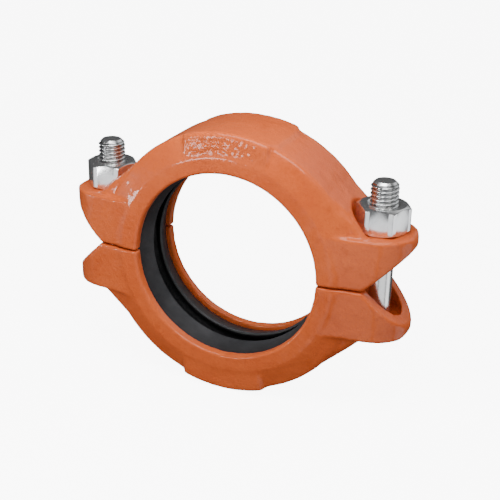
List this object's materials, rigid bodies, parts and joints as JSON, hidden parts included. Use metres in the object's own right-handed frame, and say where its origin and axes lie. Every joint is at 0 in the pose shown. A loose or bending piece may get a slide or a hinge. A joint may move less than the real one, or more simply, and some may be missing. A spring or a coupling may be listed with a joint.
{
  "type": "grooved pipe coupling",
  "caption": "Bolted ring coupling for grooved pipe: two cast half-ring housings with bolt ears clamp a C-section rubber gasket, held by track-head bolts and hexagon nuts.",
  "frame": {"origin": "centre of the bore, in the plane where the two housings meet", "axes": "+Y along the pipe, +X across the two bolts, +Z along the bolts from their heads to their nuts"},
  "size_m": [0.2098, 0.05, 0.1586],
  "materials": {
    "orange_enamel": "satin gloss enamel over cast iron",
    "black_rubber": "satin moulded rubber",
    "zinc_plate": "bright zinc plate"
  },
  "bodies": {
    "lower_half": {"lower_housing": "orange_enamel", "gasket": "black_rubber", "left_bolt": "zinc_plate", "right_bolt": "zinc_plate"},
    "upper_half": {"upper_housing": "orange_enamel"},
    "left_nut": {"left_nut": "zinc_plate"},
    "right_nut": {"right_nut": "zinc_plate"}
  },
  "joints": [
    {"name": "upper_half_lift", "type": "slide", "parent": "lower_half", "child": "upper_half", "axis": [0, 0, 1], "range_m": [0, 0.012]},
    {"name": "left_nut_turn", "type": "hinge", "parent": "upper_half", "child": "left_nut", "pos_m": [-0.0844, 0, 0.0378], "axis": [0, 0, 1], "range_deg": [0, 1871]},
    {"name": "right_nut_turn", "type": "hinge", "parent": "upper_half", "child": "right_nut", "pos_m": [0.0844, 0, 0.0378], "axis": [0, 0, 1], "range_deg": [0, 1871]}
  ],
  "couplings": [
    {"joint": "left_nut_turn", "follows": "upper_half_lift", "rad_per_m": 2721.1},
    {"joint": "right_nut_turn", "follows": "upper_half_lift", "rad_per_m": 2721.1}
  ]
}
